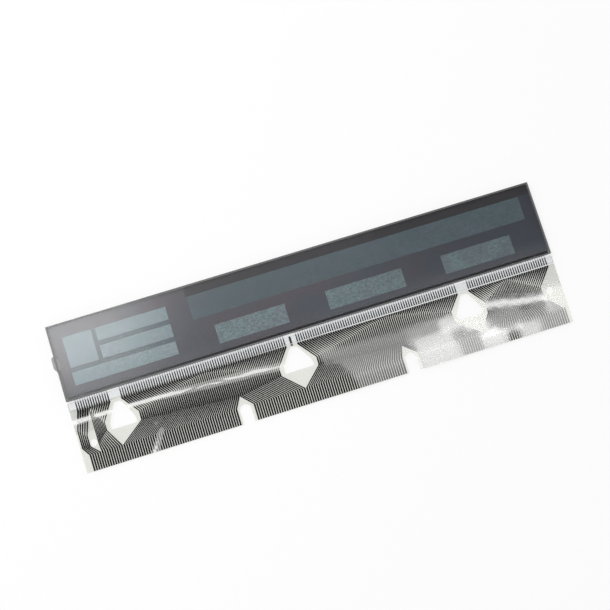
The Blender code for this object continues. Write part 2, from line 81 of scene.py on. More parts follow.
# %% [markdown]
# Three helpers serve the new pieces. One turns a whole array of points and a whole array of quads into
# a mesh in one go, which is far quicker than adding vertices one by one. The next gives the quads of
# a grid: point (row, column) is joined to its right, upper right and upper neighbours. Written as
# array arithmetic, that is four shifted copies of the same table of point numbers. The last reads
# values between chosen places along the ribbon.

# %% Mesh helpers
SHARP_ANGLE = math.radians(35)


def make_piece(name, points, quads, material, body="root"):
    """A smooth mesh from an (n, 3) array of points and an (m, 4) array of quads, riding on a body."""
    mesh = bpy.data.meshes.new(name)
    mesh.vertices.add(len(points))
    mesh.vertices.foreach_set("co", np.asarray(points, np.float32).ravel())
    mesh.loops.add(quads.size)
    mesh.loops.foreach_set("vertex_index", np.asarray(quads, np.int32).ravel())
    mesh.polygons.add(len(quads))
    mesh.polygons.foreach_set("loop_start", np.arange(0, quads.size, 4, dtype=np.int32))
    mesh.update(calc_edges=True)
    mesh.validate()
    mesh.set_sharp_from_angle(angle=SHARP_ANGLE)
    mesh.materials.append(material)
    piece = bpy.data.objects.new(name, mesh)
    bpy.context.scene.collection.objects.link(piece)
    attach(piece, body)
    print(name, len(points), "points", len(quads), "quads")
    return piece


def grid_quads(rows, columns):
    """Quads of a grid whose points are numbered row by row: each cell's four corners in turn."""
    number = np.arange(rows * columns).reshape(rows, columns)
    cells = (number[:-1, :-1], number[:-1, 1:], number[1:, 1:], number[1:, :-1])
    return np.stack(cells, -1).reshape(-1, 4)


def eased(x, places, values):
    """Values read between chosen places with an ease in and out: t * t * (3 - 2 t) in each stretch."""
    places, values = np.asarray(places, float), np.asarray(values, float)
    k = np.clip(np.searchsorted(places, x) - 1, 0, len(places) - 2)
    t = np.clip((x - places[k]) / (places[k + 1] - places[k]), 0.0, 1.0)
    return values[k] + (values[k + 1] - values[k]) * t * t * (3 - 2 * t)


# %% [markdown]
# The photograph looks down at the panel from about 36 cm, leaning a little towards the ribbon's side,
# with the panel turned 17 degrees in the picture. A camera is a place, a target and a turn about the
# line between them. Its three axes are built from those with two cross products.

# %% Camera
CAMERA_PLACE = Vector((-23.6, -41.8, 362.9)) * MM
CAMERA_TARGET = Vector((-0.4, -5.8, 2.79)) * MM
CAMERA_TURN = math.radians(17.01)
FOCAL_PIXELS = 966.0
IMAGE_PIXELS = 610.0
SENSOR = 36.0

forward = (CAMERA_TARGET - CAMERA_PLACE).normalized()
level = Vector((1.0, 0.0, 0.0))
level = (level - forward * level.dot(forward)).normalized()
across = level * math.cos(CAMERA_TURN) + forward.cross(level) * math.sin(CAMERA_TURN)
upward = across.cross(forward)
camera_data = bpy.data.cameras.new("camera")
camera_data.sensor_width = SENSOR
camera_data.lens = FOCAL_PIXELS / IMAGE_PIXELS * SENSOR
camera = bpy.data.objects.new("camera", camera_data)
bpy.context.scene.collection.objects.link(camera)
axes = Matrix((across, upward, -forward)).transposed()
camera.matrix_world = Matrix.Translation(CAMERA_PLACE) @ axes.to_4x4()
bpy.context.scene.camera = camera
bpy.context.scene.view_settings.view_transform = "Standard"
distance = (CAMERA_TARGET - CAMERA_PLACE).length
print("lens", round(camera_data.lens, 2), "mm, distance", round(distance, 3), "m")

# %% [markdown]
# The light and the finishes are both graphs of nodes, so a few helpers serve both. Each is given the
# world or the material that owns the graph. The last of them tells the rays by which the lens sees,
# straight, mirrored or through clear film, from those that only gather light. With it a surface can
# look bright to the lens and yet light its neighbours less.

# %% Node helpers


def feed(owner, slot, value):
    """Links another node's output to a slot, or sets the slot to a plain value."""
    if isinstance(value, bpy.types.NodeSocket):
        owner.node_tree.links.new(value, slot)
    else:
        slot.default_value = value


def add_node(owner, kind, **values):
    """A node with some of its inputs fed. Extra names are sockets, with spaces as underscores."""
    node = owner.node_tree.nodes.new(kind)
    for socket, value in values.items():
        feed(owner, node.inputs[socket.replace("_", " ")], value)
    return node


def ramp(owner, value, low, high, start=0.0, end=1.0):
    """Maps value from low..high to start..end with an eased curve."""
    node = add_node(
        owner, "ShaderNodeMapRange", Value=value, From_Min=low, From_Max=high, To_Min=start, To_Max=end
    )
    node.interpolation_type = "SMOOTHSTEP"
    return node.outputs["Result"]


def math_node(owner, operation, first, second):
    """The result of an operation on two values, each a number or a node's output."""
    node = add_node(owner, "ShaderNodeMath")
    node.operation = operation
    feed(owner, node.inputs[0], first)
    feed(owner, node.inputs[1], second)
    return node.outputs["Value"]


def times(owner, first, second):
    """The product of two values, each a number or a node's output."""
    return math_node(owner, "MULTIPLY", first, second)


def seen_by_lens(owner):
    """1 for the rays by which the lens sees, and 0 for those that only gather light."""
    rays = add_node(owner, "ShaderNodeLightPath").outputs
    seen = rays["Is Camera Ray"]
    for kind in ("Is Glossy Ray", "Is Transmission Ray"):
        seen = math_node(owner, "MAXIMUM", seen, rays[kind])
    return seen


# %% [markdown]
# The light does three jobs. A soft dome lights everything evenly: white walls, and a ceiling that is
# darker, so that glossy black faces turned upwards stay black. A broad card on the left, with a dim one
# beside it, is what the satin polarizer mirrors, so the panel is pale at its left end and dark at its
# right. A long lamp on the ribbon's side, with a dimmer and wider one round it, is what the glossy film
# mirrors where the film slopes enough to turn it into the lens. That draws the long pale streak on the
# left and the crease. The film's other pale patches need cards of their own, which are hung once its
# shape is known.

# %% Lamps and world
DOME_LIGHT = 0.66
CEILING = 0.08
CEILING_FROM, CEILING_TO = 0.55, 0.85
CARD_Y, CARD_Z, CARD_DEPTH = 0.39, 1.0, 0.6
LEFT_CARD_X, LEFT_CARD_LENGTH, LEFT_CARD_WATTS = -0.465, 0.6, 8.2
MIDDLE_CARD_X, MIDDLE_CARD_LENGTH, MIDDLE_CARD_WATTS = 0.03, 0.3, 0.3
LAMP_X, LAMP_Y, LAMP_Z, LAMP_LENGTH = 0.06, -0.2, 1.0, 0.9
LAMP_TARGET = (LAMP_X, -0.03, 0.0)
STRIP_DEPTH, STRIP_WATTS = 0.13, 1.2
HALO_ABOVE, HALO_DEPTH, HALO_WATTS = 0.01, 0.22, 0.65


def area_light(name, place, target, size, watts):
    """A rectangular lamp at a place, facing a target, its length along X."""
    data = bpy.data.lights.new(name, "AREA")
    data.shape = "RECTANGLE"
    data.size, data.size_y = size
    data.energy = watts
    lamp = bpy.data.objects.new(name, data)
    bpy.context.scene.collection.objects.link(lamp)
    facing = (Vector(target) - Vector(place)).normalized()
    side = (Vector((1.0, 0.0, 0.0)) - facing * facing.x).normalized()
    turn = Matrix((side, side.cross(facing) * -1.0, -facing)).transposed()
    lamp.matrix_world = Matrix.Translation(place) @ turn.to_4x4()
    return lamp


for name, x, length, watts in (
    ("left_card", LEFT_CARD_X, LEFT_CARD_LENGTH, LEFT_CARD_WATTS),
    ("middle_card", MIDDLE_CARD_X, MIDDLE_CARD_LENGTH, MIDDLE_CARD_WATTS),
):
    area_light(name, (x, CARD_Y, CARD_Z), (x, CARD_Y, 0.0), (length, CARD_DEPTH), watts)
for name, z, depth, watts in (
    ("strip_lamp", LAMP_Z, STRIP_DEPTH, STRIP_WATTS),
    ("strip_halo", LAMP_Z + HALO_ABOVE, HALO_DEPTH, HALO_WATTS),
):
    area_light(name, (LAMP_X, LAMP_Y, z), LAMP_TARGET, (LAMP_LENGTH, depth), watts)

world = bpy.data.worlds.new("studio")
bpy.context.scene.world = world
world.use_nodes = True
direction = add_node(world, "ShaderNodeTexCoord").outputs["Generated"]
upwards = add_node(world, "ShaderNodeSeparateXYZ", Vector=direction).outputs["Z"]
shade = ramp(world, upwards, CEILING_FROM, CEILING_TO, 1.0, CEILING)
dome = ramp(world, seen_by_lens(world), 0.0, 1.0, DOME_LIGHT, 1.0)
background = world.node_tree.nodes["Background"]
background.inputs["Color"].default_value = (1.0, 1.0, 1.0, 1.0)
feed(world, background.inputs["Strength"], times(world, dome, shade))
print("world and lamps:", len(bpy.data.lights), "lamps")

# %% [markdown]
# Every finish starts from one Principled shader whose plain values are set on its own sockets. What
# varies over a surface comes from noise read at Object coordinates. All pieces sit at the origin, so
# these are the real places on the object, and a pattern written in millimetres has its real size. The
# noise keeps mostly between 0.3 and 0.7. A ramp over that span gives soft lumps, and one over a
# narrower span gives sharper ones.

# %% Material helpers
SOFT, FIRM, SHARP = (0.3, 0.7), (0.35, 0.65), (0.4, 0.6)


def new_material(name, colour, roughness, **plain):
    """A Principled material. Extra names are sockets, with spaces written as underscores."""
    material = bpy.data.materials.new(name)
    material.use_nodes = True
    shader = material.node_tree.nodes["Principled BSDF"]
    shader.inputs["Base Color"].default_value = (*colour, 1.0)
    shader.inputs["Roughness"].default_value = roughness
    for socket, value in plain.items():
        shader.inputs[socket.replace("_", " ")].default_value = value
    return material


def coordinates(material):
    """Outputs X, Y and Z, which give the real place on the object."""
    place = add_node(material, "ShaderNodeTexCoord").outputs["Object"]
    return add_node(material, "ShaderNodeSeparateXYZ", Vector=place).outputs


def noise(material, size, detail=2.0, stretch=(1.0, 1.0, 1.0)):
    """Noise between 0 and 1 whose lumps are about the given size in metres."""
    place = add_node(material, "ShaderNodeTexCoord").outputs["Object"]
    spread = add_node(material, "ShaderNodeMapping", Vector=place, Scale=stretch).outputs["Vector"]
    made = add_node(material, "ShaderNodeTexNoise", Vector=spread, Scale=1.0 / size, Detail=detail)
    return made.outputs["Fac"]


def blend(material, share, first, second):
    """The first colour where share is 0 and the second where it is 1. Each may be a node's output."""
    node = material.node_tree.nodes.new("ShaderNodeMix")
    node.data_type = "RGBA"
    feed(material, node.inputs["Factor"], share)
    for socket, colour in (("A", first), ("B", second)):
        feed(material, node.inputs[socket], (*colour, 1.0) if isinstance(colour, tuple) else colour)
    return node.outputs["Result"]


def paint(material, socket, output):
    """Feeds a node's output to one of the shader's sockets."""
    feed(material, material.node_tree.nodes["Principled BSDF"].inputs[socket], output)


def relief(material, height, depth):
    """Fine bumps, whose height between 0 and 1 stands for the given depth in metres."""
    bump = add_node(material, "ShaderNodeBump", Height=height, Distance=depth)
    paint(material, "Normal", bump.outputs["Normal"])


def inside(material, xs, ys, softness):
    """1 inside a rectangle seen from above and 0 outside it, with soft edges of a given width."""
    place = coordinates(material)
    share = None
    for axis, (low, high) in (("X", xs), ("Y", ys)):
        rise = ramp(material, place[axis], low - softness, low + softness)
        fall = ramp(material, place[axis], high - softness, high + softness, 1.0, 0.0)
        both = times(material, rise, fall)
        share = both if share is None else times(material, share, both)
    return share


def dress(material, *nodes):
    """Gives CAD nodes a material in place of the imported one."""
    for name in nodes:
        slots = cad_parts[name].data.materials
        slots.clear()
        slots.append(material)


# %% [markdown]
# The polarizer is a plastic film with a satin, anti-glare face. It lets through a part of the light,
# so a plain Alpha is a fair stand-in, and the pieces below it are real and lie where they should. A
# higher IOR than plastic's stands for the several faces that mirror light inside such a stack. A dark
# line all round its edge is painted shade, where the edge of the stack lies in shadow, and a dark spot
# marks one corner.

# %% Polarizer
POLARIZER_ALPHA = 0.15
EDGE_SHADE_ALPHA = 0.85
EDGE_SHADE_WIDTH = 0.38 * MM
CORNER_SPOT = 0.9 * MM
SATIN, MATT = 0.19, 0.6
SATIN_GRAIN, SATIN_DEPTH = 0.12 * MM, 0.002 * MM


def polarizer_material():
    """Satin and half clear in its middle, black and matt in a painted edge shade and in one corner."""
    material = new_material(
        "polarizer_film", (0.02, 0.02, 0.022), SATIN, Alpha=POLARIZER_ALPHA, IOR=2.6
    )
    cloud = ramp(material, noise(material, 14 * MM, 1.0), *FIRM)
    tone = blend(material, cloud, (0.024, 0.02, 0.024), (0.016, 0.02, 0.024))
    # Painted shade: a dark line round the edge stands for the stack's edge lying in shadow.
    middle = inside(
        material,
        (polarizer_low.x + EDGE_SHADE_WIDTH, polarizer_high.x - EDGE_SHADE_WIDTH),
        (polarizer_low.y + EDGE_SHADE_WIDTH, polarizer_high.y - EDGE_SHADE_WIDTH),
        softness=0.06 * MM,
    )
    corner = inside(
        material,
        (polarizer_low.x, polarizer_low.x + CORNER_SPOT),
        (polarizer_high.y - CORNER_SPOT, polarizer_high.y),
        softness=0.15 * MM,
    )
    middle = times(material, middle, ramp(material, corner, 0.0, 1.0, 1.0, 0.0))
    paint(material, "Base Color", blend(material, middle, (0.0, 0.0, 0.0), tone))
    paint(material, "Alpha", ramp(material, middle, 0.0, 1.0, EDGE_SHADE_ALPHA, POLARIZER_ALPHA))
    paint(material, "Roughness", ramp(material, middle, 0.0, 1.0, MATT, SATIN))
    relief(material, noise(material, SATIN_GRAIN, 0.0), SATIN_DEPTH)
    return material


dress(polarizer_material(), "front_polarizer")

# %% [markdown]
# Below the polarizer lie the mask and the fields. The mask isn't one even black: a band above the
# long field is darker, the stretch round the left group is bluer, and the foot is paler. Each field is
# a sheet of fine electrodes, which looks like mottled grey green. The three groups of fields differ in
# brightness, so one function makes three materials from two colours each. The seal and the silver dots
# lie under the print's edge, so they take its look, and so does the rear film that is seen below them.

# %% Mask and fields
long_low, long_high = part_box("field_long_bar")
square_low, square_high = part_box("field_square")
lower_bar_low, lower_bar_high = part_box("field_lower_bar")
REAR_LIFT = 2.3
WARM, LILAC, COOL = (0.13, 0.112, 0.14), (0.10, 0.112, 0.145), (0.062, 0.075, 0.10)
ROUND_GROUP, BAND, FOOT = (0.10, 0.165, 0.20), (0.042, 0.039, 0.046), (0.15, 0.16, 0.19)
COOL_FROM, COOL_TO = 0.0, 80 * MM
FOOT_FROM, FOOT_TO, FOOT_SHARE = -7 * MM, -12.5 * MM, 0.55
BAND_PAST_FIELD = 0.3 * MM
GREENER, DARKER = (0.84, 1.03, 0.88), 0.6
PATCH_SHARE, GRAIN_SHARE = 0.4, 0.6


def mask_material(name, lift=1.0):
    """The mask's tones by place. A lift above 1 makes up for light lost on the way to a deeper film."""
    material = new_material(name, (0.1, 0.1, 0.12), 0.5)
    tones = (WARM, LILAC, COOL, ROUND_GROUP, BAND, FOOT)
    warm, lilac, cool, round_group, dark, pale = (tuple(lift * c for c in tone) for tone in tones)
    cloud = ramp(material, noise(material, 18 * MM, 1.0), *FIRM)
    place = coordinates(material)
    tone = blend(material, cloud, warm, lilac)
    tone = blend(material, ramp(material, place["X"], COOL_FROM, COOL_TO), tone, cool)
    tone = blend(material, ramp(material, place["Y"], FOOT_FROM, FOOT_TO, 0.0, FOOT_SHARE), tone, pale)
    group = inside(
        material,
        (square_low.x, lower_bar_high.x), (lower_bar_low.y, square_high.y),
        softness=0.6 * MM,
    )
    tone = blend(material, group, tone, round_group)
    band = inside(
        material,
        (long_low.x - BAND_PAST_FIELD, RIGHT), (long_high.y, glass_high.y),
        softness=0.15 * MM,
    )
    paint(material, "Base Color", blend(material, band, tone, dark))
    return material


def field_material(name, start, end, xs):
    """A field's colour runs from start to end over xs, greener in lumps, under fine grain."""
    material = new_material(name, start, 0.45)
    tone = blend(material, ramp(material, coordinates(material)["X"], *xs), start, end)
    patches = ramp(material, noise(material, 7 * MM, 2.0), *SHARP)
    greener = tuple(c * k for c, k in zip(start, GREENER))
    tone = blend(material, times(material, patches, PATCH_SHARE), tone, greener)
    grain = ramp(material, noise(material, 1.0 * MM, 2.0, (1.0, 1.6, 1.0)), *SOFT)
    darker = tuple(DARKER * c for c in end)
    tone = blend(material, times(material, grain, GRAIN_SHARE), tone, darker)
    paint(material, "Base Color", tone)
    return material


dress(
    mask_material("mask_ink"),
    "black_mask", "perimeter_seal", "transfer_dot_left", "transfer_dot_right",
)
dress(mask_material("rear_film", REAR_LIFT), "rear_polarizer")
over_group, over_rest = (square_low.x, lower_bar_high.x), (long_low.x, long_high.x)
dress(
    field_material("field_pale", (0.39, 0.54, 0.63), (0.42, 0.56, 0.62), over_group),
    "field_square", "field_upper_bar", "field_middle_bar", "field_lower_bar",
)
dress(
    field_material("field_long", (0.14, 0.202, 0.245), (0.16, 0.222, 0.262), over_rest),
    "field_long_bar",
)
dress(
    field_material("field_lower", (0.36, 0.475, 0.53), (0.22, 0.29, 0.33), over_rest),
    "field_lower_left", "field_lower_middle", "field_lower_right",
)

# %% [markdown]
# Thin clear glass seen from above mostly adds a little white and a mirror image. A low plain Alpha
# with a smooth face does that without the noise that true refraction brings. Outside the polarizer
# the margin is painted dark, a painted shade for the cut edges of the sheets below, which swallow
# light there. The deeper pieces get a finish too: the mirror film and the plug, which show at the
# panel's edges, and the electrode and the fluid, which would show only in an opened panel.

# %% Glass and inner pieces
CLEAR_ALPHA = 0.045
MARGIN_SHADE_ALPHA = 0.65
LUMP_SHADE = 0.85


def glass_material():
    """Clear on the ledge, grey under the polarizer, and painted dark as shade in the margin round it."""
    material = new_material("clear_glass", (0.52, 0.56, 0.60), 0.06, Alpha=CLEAR_ALPHA, IOR=1.6)
    paint(material, "Roughness", ramp(material, noise(material, 9 * MM, 3.0), *SOFT, 0.04, 0.1))
    above_ledge = (LEFT - MM, RIGHT + MM), (polarizer_low.y, glass_high.y + MM)
    covered = inside(material, *above_ledge, softness=0.1 * MM)
    under = inside(
        material,
        (polarizer_low.x, polarizer_high.x), (polarizer_low.y - MM, polarizer_high.y),
        softness=0.04 * MM,
    )
    # Painted shade: the margin round the polarizer is made dark and less clear.
    margin = times(material, covered, ramp(material, under, 0.0, 1.0, 1.0, 0.0))
    covered_tone = blend(material, margin, (0.06, 0.065, 0.07), (0.004, 0.004, 0.005))
    paint(material, "Base Color", blend(material, covered, (0.44, 0.48, 0.52), covered_tone))
    paint(material, "Alpha", ramp(material, margin, 0.0, 1.0, CLEAR_ALPHA, MARGIN_SHADE_ALPHA))
    return material


def plain_inner(name, colour, roughness, lump, **sockets):
    """A finish for a deeper piece: its colour, a little darker in lumps of the given size."""
    material = new_material(name, colour, roughness, **sockets)
    darker = tuple(LUMP_SHADE * c for c in colour)
    lumps = ramp(material, noise(material, lump, 3.0), *SOFT)
    paint(material, "Base Color", blend(material, lumps, colour, darker))
    return material


dress(glass_material(), "front_glass", "rear_glass")
dress(plain_inner("mirror_film", (0.72, 0.73, 0.74), 0.32, 6 * MM, Metallic=0.8), "transflector")
dress(plain_inner("clear_conductor", (0.62, 0.66, 0.66), 0.3, 8 * MM, Alpha=0.4), "common_electrode")
dress(plain_inner("cell_fluid", (0.45, 0.48, 0.45), 0.25, 10 * MM, Alpha=0.5), "liquid_crystal")
dress(plain_inner("plug_resin", (0.30, 0.30, 0.31), 0.3, 0.8 * MM), "end_seal_plug")

# %% [markdown]
# The ribbon's film is bonded level under the ledge and sinks a little from there, so that its foot
# stands about a millimetre above the table. A glossy sheet mirrors a lamp only where it slopes by a
# certain amount, so the pale streak in the photograph says where the film has that slope. The slope is
# therefore written first: gentle, plus one ridge that brings it up towards the mirroring slope along
# the streak. The height is the bonded height less the running sum of the slope. A low crease near the
# lower left is then added to it.

# %% Slope ridge: places along the ribbon, and the ridge's middle, half width and strength there
GENTLE_SLOPE = ((-96, -20, 0, 10, 96), (0.013, 0.013, 0.012, 0.008, 0.008))
STREAK = (
    (-96, -80, -66, -53, -41, -28, -17, -8, 0),
    (-22.4, -22.2, -22.5, -23.0, -23.6, -24.1, -24.9, -26, -27),
    (1.3, 1.0, 1.1, 1.4, 1.7, 1.9, 2.0, 2.2, 2.0),
    (1.0, 1.0, 0.92, 0.9, 0.87, 0.8, 0.7, 0.35, 0.0),
)

# %% Crease: both ends, and its height, half width and the length of its rise, all in mm
CREASE_START, CREASE_END = np.array([-63.4, -29.2]), np.array([-71.9, -42.5])
CREASE_HEIGHT, CREASE_WIDTH, CREASE_RISE = 0.175, 1.9, 5.0

# %% The film's height as a table over the ribbon
TABLE_STEP_X, TABLE_STEP_Y = 0.4 * MM, 0.1 * MM
LAST_CELL = 1.001


def mirror_slope(y):
    """The slope at which the film mirrors the lamp into the lens: half the sum of both directions."""
    to_lens = (y - CAMERA_PLACE.y) / CAMERA_PLACE.z
    to_lamp = (y - LAMP_Y) / LAMP_Z
    return (to_lens + to_lamp) / 2


def ridge_share(x, y, ridge):
    """A ridge's share of the way from flat to mirroring: strength / cosh((y - middle) / width) ** 2."""
    places, middle, width, strength = (np.asarray(row, float) for row in ridge)
    away = (y / MM - eased(x / MM, places, middle)) / eased(x / MM, places, width)
    outside = (x / MM < places[0]) | (x / MM > places[-1])
    return np.where(outside, 0.0, eased(x / MM, places, strength)) / np.cosh(np.clip(away, -20, 20)) ** 2


def crease_height(x, y):
    """The crease: height * exp(-(distance / half width) ** 2), rising from nothing at its start."""
    along = (CREASE_END - CREASE_START) / np.linalg.norm(CREASE_END - CREASE_START)
    dx, dy = x / MM - CREASE_START[0], y / MM - CREASE_START[1]
    run, away = dx * along[0] + dy * along[1], dx * along[1] - dy * along[0]
    t = np.clip(run / CREASE_RISE, 0.0, 1.0)
    return CREASE_HEIGHT * MM * t * t * (3 - 2 * t) * np.exp(-(away / CREASE_WIDTH) ** 2)


table_x = np.linspace(LEFT, RIGHT, round((RIGHT - LEFT) / TABLE_STEP_X) + 1)
table_y = np.linspace(FAN, FILM_FOOT, round((FAN - FILM_FOOT) / TABLE_STEP_Y) + 1)
slope_x, slope_y = np.meshgrid(table_x, table_y)
share = ridge_share(slope_x, slope_y, STREAK)
gentle = eased(slope_x / MM, *GENTLE_SLOPE)
slope = gentle + share * (mirror_slope(slope_y) - gentle)
step = table_y[0] - table_y[1]
fallen = np.cumsum((slope[1:] + slope[:-1]) / 2, 0) * step
table_z = BONDED_LEVEL - np.concatenate([slope[:1] * 0, fallen])
table_z += crease_height(slope_x, slope_y)
print("foot above the table in mm:", np.round(table_z[-1, ::40] / MM, 2))


def ribbon_height(x, y):
    """Height of the film's upper face: the table read between its four nearest entries.

    LAST_CELL keeps even the places past the table's end inside its last cell."""
    column = np.clip((x - table_x[0]) / (table_x[1] - table_x[0]), 0, len(table_x) - LAST_CELL)
    row = np.clip((FAN - y) / step, 0, len(table_y) - LAST_CELL)
    i, j = column.astype(int), row.astype(int)
    a, b = column - i, row - j
    upper = table_z[j, i] * (1 - a) + table_z[j, i + 1] * a
    lower = table_z[j + 1, i] * (1 - a) + table_z[j + 1, i + 1] * a
    return upper * (1 - b) + lower * b


print("film between", round(table_z.min() / MM, 3), "and", round(table_z.max() / MM, 3), "mm")

# %% [markdown]
# Where the film lies nearly flat it mirrors the ceiling, so a pale card hung there shows as a pale
# patch on the tracks. The law of reflection tells where to hang it: the way to the lens and the way to
# the card lean equally from the film's normal. So each patch of the film has one card, about four
# times as large, and the gloss's own roughness softens its outline. Its watts grow with its area, so
# cards of one brightness look alike at any size. The streak on the right slants, so it is made of
# steps, each with a bright card and a dim one that fades it upwards. The cards hang one above the
# other, a few millimetres apart, so that no two lie in one plane.

# %% Cards that the film mirrors: sides of each patch in mm, and the brightness of its card
FILM_CARDS = [
    ((-1.0, 33), (-28.5, -25.2), 1.1),
    ((-1.0, 33), (-31.5, -28.5), 1.1),
    ((2.5, 33), (-34.5, -31.5), 1.1),
    ((6.0, 33), (-37.5, -34.5), 1.0),
    ((9.5, 33), (-44.0, -37.5), 0.8),
    ((33, 60), (-31.0, -25.2), 1.6),
    ((46, 56), (-31.0, -26.0), 2.5),
    ((33, 60), (-36.0, -30.0), 1.5),
    ((35, 50), (-36.0, -31.0), 2.4),
    ((33.5, 51), (-44.0, -36.0), 4.2),
    ((51, 60), (-44.0, -36.0), 2.0),
    ((55, 63), (-33.0, -27.5), 3.0),
    ((60, 64.5), (-34.5, -31.0), 4.8),
    ((60, 67), (-37.5, -34.5), 4.8),
    ((60, 69.5), (-44.0, -37.5), 4.3),
    ((68, 76), (-38.0, -36.0), 3.6),
    ((74.5, 83), (-44.0, -37.5), 3.8),
    ((83, 98), (-44.0, -37.0), 1.6),
    ((65, 77), (-36.0, -29.0), 1.2),
    ((77, 89), (-36.0, -31.5), 1.0),
    ((87.5, 98), (-36.0, -26.5), 2.6),
]
STREAK_STEPS = 8
RIGHT_STREAK = np.linspace((64.5, -25.9), (89.5, -29.9), STREAK_STEPS)
STEP_HALF_WIDTH, STEP_BELOW, STEP_ABOVE, FADE_ABOVE = 1.8, 1.0, 1.0, 2.0
STEP_BRIGHTNESS, FADE_BRIGHTNESS = 5.5, 0.7
CARD_SPACING = 4 * MM
LEAN_REACH = 2 * MM

for x, y in RIGHT_STREAK:
    across_step = (x - STEP_HALF_WIDTH, x + STEP_HALF_WIDTH)
    FILM_CARDS.append((across_step, (y - STEP_BELOW, y + STEP_ABOVE), STEP_BRIGHTNESS))
    FILM_CARDS.append((across_step, (y - STEP_BELOW, y + FADE_ABOVE), FADE_BRIGHTNESS))


def film_lean(place):
    """How far the film leans about a place: its rise over run along X and along Y."""
    steps = np.array([[1, 0], [-1, 0], [0, 1], [0, -1]]) * LEAN_REACH
    heights = ribbon_height(*(place + steps).T)
    return np.array([heights[0] - heights[1], heights[2] - heights[3]]) / (2 * LEAN_REACH)


for number, (xs, ys, brightness) in enumerate(FILM_CARDS):
    hung_at = LAMP_Z + CARD_SPACING * number
    larger = 1 + hung_at / CAMERA_PLACE.z
    size = (xs[1] - xs[0]) * larger * MM, (ys[1] - ys[0]) * larger * MM
    patch = np.array([sum(xs), sum(ys)]) / 2 * MM
    to_lens = (np.array(CAMERA_PLACE.xy) - patch) / CAMERA_PLACE.z
    place = patch - (to_lens + 2 * film_lean(patch)) * hung_at
    watts = brightness * math.pi * size[0] * size[1]
    area_light(f"film_card_{number}", (*place, hung_at), (*place, 0.0), size, watts)
print("film cards:", len(FILM_CARDS))

# %% [markdown]
# The film has three windows, two slots and two register holes. A flat grid can't have a bell shaped
# hole, so a rectangle of cells is left out round each hole, and a ring of quads joins the rectangle's
# border to the hole's edge. Both loops have as many points, taken at the same angles. A rounded
# polygon has a short polar formula: for sides at distance d with outward normals n, the radius in
# direction u is (sum of max(0, n . u / d) ** p) ** (-1 / p). A large p gives tight corners.

# %% Hole shapes
HOLE_SHARPNESS = 16
WINDOW_FEET = (LEDGE - 10.5 * MM, LEDGE - 9.9 * MM, LEDGE - 9.9 * MM)
WINDOW_MIDDLES = (LEFT + 17.85 * MM, LEFT + 85.95 * MM, RIGHT - 36.85 * MM)
WINDOW_HALF_WIDTHS = (4.95 * MM, 5.65 * MM, 5.05 * MM)
WINDOW_TOP, SHOULDER_ABOVE_FOOT = LEDGE - 1.0 * MM, 2.3 * MM
WINDOW_TOP_HALF = 1.3 * MM
CENTRE_RISE = 1.0 * MM
SLOT_MIDDLES = (LEFT + 62.3 * MM, RIGHT - 63.5 * MM)
SLOT_HALF_WIDTH = 2.2 * MM
SLOT_ARCH = LEDGE - 18.3 * MM
REGISTERS = ((LEFT + 5.35 * MM, LEDGE - 13.1 * MM), (RIGHT - 5.0 * MM, LEDGE - 9.3 * MM))
REGISTER_RADIUS = 1.3 * MM


def polygon_radius(corners, centre, angles, sharpness):
    """Radius of a rounded convex polygon about a centre, by the formula above."""
    corners = np.asarray(corners) - centre
    sides = np.roll(corners, -1, 0) - corners
    normals = np.stack([sides[:, 1], -sides[:, 0]], 1) / np.linalg.norm(sides, axis=1)[:, None]
    distances = (normals * corners).sum(1)
    along = np.stack([np.cos(angles), np.sin(angles)], -1) @ (normals / distances[:, None]).T
    return (np.maximum(along, 0.0) ** sharpness).sum(-1) ** (-1.0 / sharpness)


def window_radius(middle, half, foot):
    """Centre of a window's hole, and its radius as a function of direction."""
    shoulder = foot + SHOULDER_ABOVE_FOOT
    corners = [
        (middle - half, foot), (middle + half, foot), (middle + half, shoulder),
        (middle + WINDOW_TOP_HALF, WINDOW_TOP), (middle - WINDOW_TOP_HALF, WINDOW_TOP),
        (middle - half, shoulder),
    ]
    centre = np.array([middle, foot + SHOULDER_ABOVE_FOOT / 2 + CENTRE_RISE])
    return centre, lambda angles: polygon_radius(corners, centre, angles, HOLE_SHARPNESS)


def round_radius(place):
    """Centre of a register hole, and its radius, which is the same in each direction."""
    return np.array(place), lambda angles: np.full_like(angles, REGISTER_RADIUS)


holes = [window_radius(*hole) for hole in zip(WINDOW_MIDDLES, WINDOW_HALF_WIDTHS, WINDOW_FEET)]
holes += [round_radius(place) for place in REGISTERS]
print("holes:", len(holes))

# %% Film mesh, flat and then laid over its height
CELL = 0.5 * MM
RINGS = 5
HOLE_ROOM = 1.1 * MM
DIRECTIONS = np.linspace(0.0, 2 * math.pi, 361)

columns = np.linspace(LEFT, RIGHT, round((RIGHT - LEFT) / CELL) + 1)
lines = np.linspace(FILM_FOOT, FILM_TOP, round((FILM_TOP - FILM_FOOT) / CELL) + 1)


def nearest(values, value):
    """Number of the entry that lies nearest to a value."""
    return int(np.abs(values - value).argmin())


def cut_out(low, high):
    """Grid numbers of the rectangle of cells nearest to the given corners."""
    left, right = nearest(columns, low[0]), nearest(columns, high[0])
    return left, right, nearest(lines, low[1]), nearest(lines, high[1])


def border(box):
    """The rectangle's border as one closed loop of grid points, anticlockwise from its lower left."""
    left, right, low, high = box
    xs, ys = columns[left:right + 1], lines[low:high + 1]
    loop = [
        np.stack([xs[:-1], np.full(len(xs) - 1, ys[0])], 1),
        np.stack([np.full(len(ys) - 1, xs[-1]), ys[:-1]], 1),
        np.stack([xs[:0:-1], np.full(len(xs) - 1, ys[-1])], 1),
        np.stack([np.full(len(ys) - 1, xs[0]), ys[:0:-1]], 1),
    ]
    return np.concatenate(loop)


def ring(outer, inner):
    """Quads between two loops with as many points: point = outer + share * (inner - outer)."""
    share = np.linspace(0.0, 1.0, RINGS + 1)[:, None, None]
    points = outer + share * (inner - outer)
    return points.reshape(-1, 2), grid_quads(*points.shape[:2])


